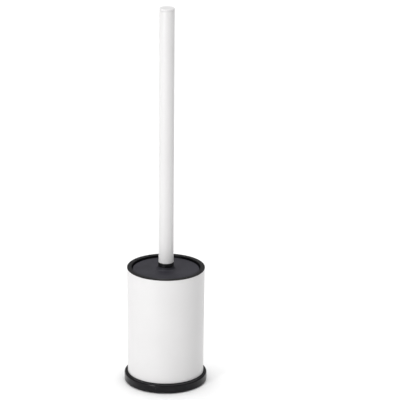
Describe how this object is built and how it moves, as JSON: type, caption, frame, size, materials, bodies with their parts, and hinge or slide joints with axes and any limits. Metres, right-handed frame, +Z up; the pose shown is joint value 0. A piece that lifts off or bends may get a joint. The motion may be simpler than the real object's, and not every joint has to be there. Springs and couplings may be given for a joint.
{
  "type": "toilet brush holder",
  "caption": "Round white steel brush holder with a black moulded rim and base, a lift-out drip bucket, and a tufted black brush whose lid closes the rim below a straight white tubular handle.",
  "frame": {"origin": "on the floor, at the centre of the base", "axes": "+Z up along the handle; the part is round about Z, with a foot pad between each pair of X and Y axes"},
  "size_m": [0.0884, 0.0884, 0.412],
  "materials": {
    "white_paint": "satin",
    "white_plastic": "satin",
    "black_plastic": "satin",
    "charcoal_plastic": "matte",
    "gloss_black_plastic": "gloss",
    "bristle": "matte",
    "pad_rubber": "matte"
  },
  "bodies": {
    "holder": {"holder_sleeve": "white_paint", "top_rim": "black_plastic", "base_cup": "black_plastic", "foot_pad_1": "pad_rubber", "foot_pad_2": "pad_rubber", "foot_pad_3": "pad_rubber", "foot_pad_4": "pad_rubber"},
    "bucket": {"drip_bucket": "black_plastic"},
    "lid": {"lid": "charcoal_plastic"},
    "brush": {"handle_tube": "white_paint", "handle_cap": "white_plastic", "handle_plug": "gloss_black_plastic", "brush_core": "gloss_black_plastic", "bristle_row_1": "bristle", "bristle_row_2": "bristle", "bristle_row_3": "bristle", "bristle_row_4": "bristle", "bristle_row_5": "bristle", "bristle_row_6": "bristle", "bristle_row_7": "bristle", "bristle_row_8": "bristle", "bristle_tip": "bristle"}
  },
  "joints": [
    {"name": "bucket_lift", "type": "slide", "parent": "holder", "child": "bucket", "axis": [0, 0, 1], "range_m": [0, 0.13]},
    {"name": "brush_lift", "type": "slide", "parent": "bucket", "child": "lid", "axis": [0, 0, 1], "range_m": [0, 0.115]},
    {"name": "brush_spin", "type": "hinge", "parent": "lid", "child": "brush", "pos_m": [0, 0, 0.1266], "axis": [0, 0, 1], "continuous": true}
  ]
}
